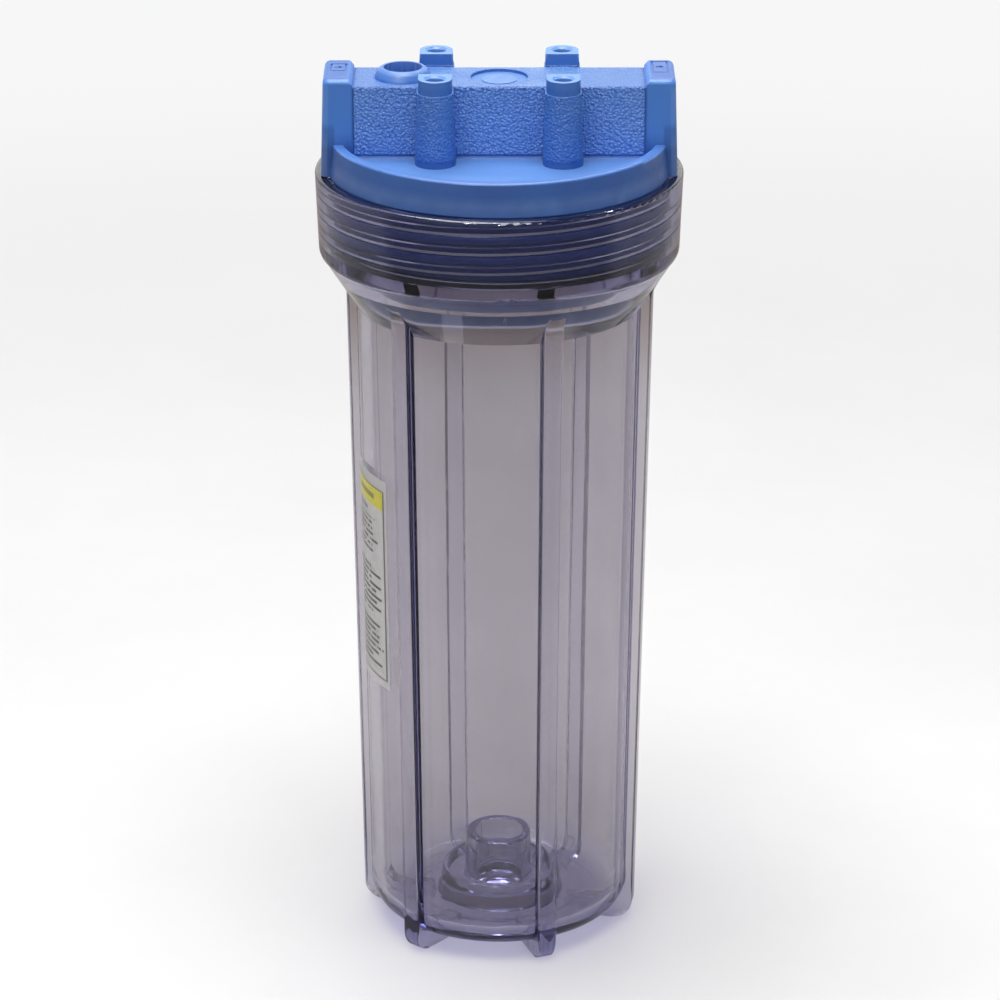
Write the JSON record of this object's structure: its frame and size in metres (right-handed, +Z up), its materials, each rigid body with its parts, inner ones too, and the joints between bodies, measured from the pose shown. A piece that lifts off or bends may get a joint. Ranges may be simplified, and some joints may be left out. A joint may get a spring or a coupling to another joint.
{
  "type": "cartridge filter housing",
  "caption": "Cartridge filter housing: a blue cap with end ports and bracket bosses over a clear ribbed sump that unscrews downwards so the cartridge can be changed.",
  "frame": {"origin": "centre of the plane the sump's feet stand on, on the housing's axis", "axes": "+Z up along the axis from the feet to the cap; the inlet port faces -X and the outlet port +X"},
  "size_m": [0.117, 0.117, 0.2949],
  "materials": {
    "cap_plastic": "satin moulded blue plastic, pebbled on the manifold block and smooth elsewhere",
    "clear_plastic": "clear moulded plastic with a faint violet-grey tint",
    "seal_rubber": "black lubricated rubber",
    "label_film": "printed clear adhesive film with a yellow bar and plain grey blocks, no lettering"
  },
  "bodies": {
    "cap": {"cap": "cap_plastic"},
    "seal": {"sump_o_ring": "seal_rubber"},
    "sump": {"sump": "clear_plastic", "label": "label_film"}
  },
  "joints": [
    {"name": "sump_lower", "type": "slide", "parent": "cap", "child": "seal", "axis": [0, 0, -1], "range_m": [0, 0.0191]},
    {"name": "sump_turn", "type": "hinge", "parent": "seal", "child": "sump", "pos_m": [0, 0, 0.2396], "axis": [0, 0, -1], "range_deg": [0, 1080]}
  ],
  "couplings": [
    {"joint": "sump_lower", "follows": "sump_turn", "m_per_rad": 0.0010106}
  ]
}
